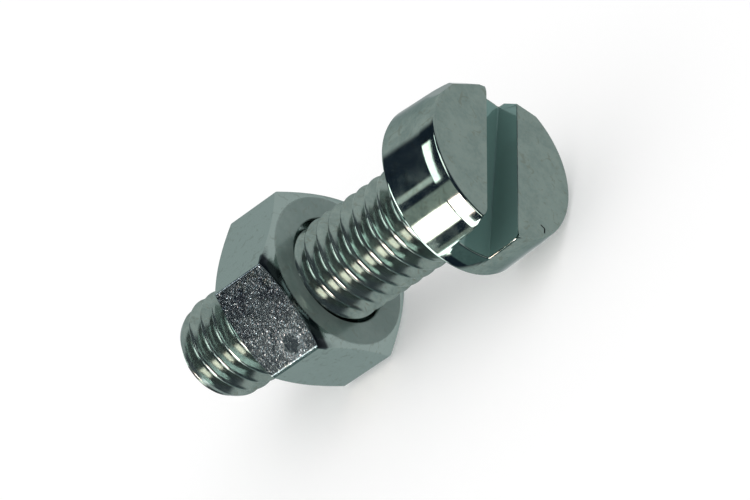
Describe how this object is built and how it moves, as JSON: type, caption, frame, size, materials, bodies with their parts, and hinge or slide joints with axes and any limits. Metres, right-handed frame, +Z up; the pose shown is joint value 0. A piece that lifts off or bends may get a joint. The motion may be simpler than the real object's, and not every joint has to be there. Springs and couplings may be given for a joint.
{
  "type": "machine screw with nut",
  "caption": "Slotted cheese head machine screw, zinc plated, with a hexagon nut run part way down its thread.",
  "frame": {"origin": "on the screw's axis, in the plane of the head's bearing face", "axes": "+X along the screw's axis from the head to the free end of the thread, +Z up as the screw and nut lie on a table on the head's rim and one flat of the nut, with the axis level to within 2 degrees"},
  "size_m": [0.0242, 0.011, 0.0102],
  "materials": {
    "screw_zinc": "bright zinc plating, satin on the faces and shiny on the turned sides",
    "nut_zinc": "bright zinc plating over a hexagon with one rough, pitted flat"
  },
  "bodies": {
    "screw": {"screw": "screw_zinc"},
    "nut": {"nut": "nut_zinc"}
  },
  "joints": [
    {"name": "nut_travel", "type": "slide", "parent": "screw", "child": "nut", "axis": [1, 0, 0], "range_m": [-0.008, 0.01]}
  ]
}
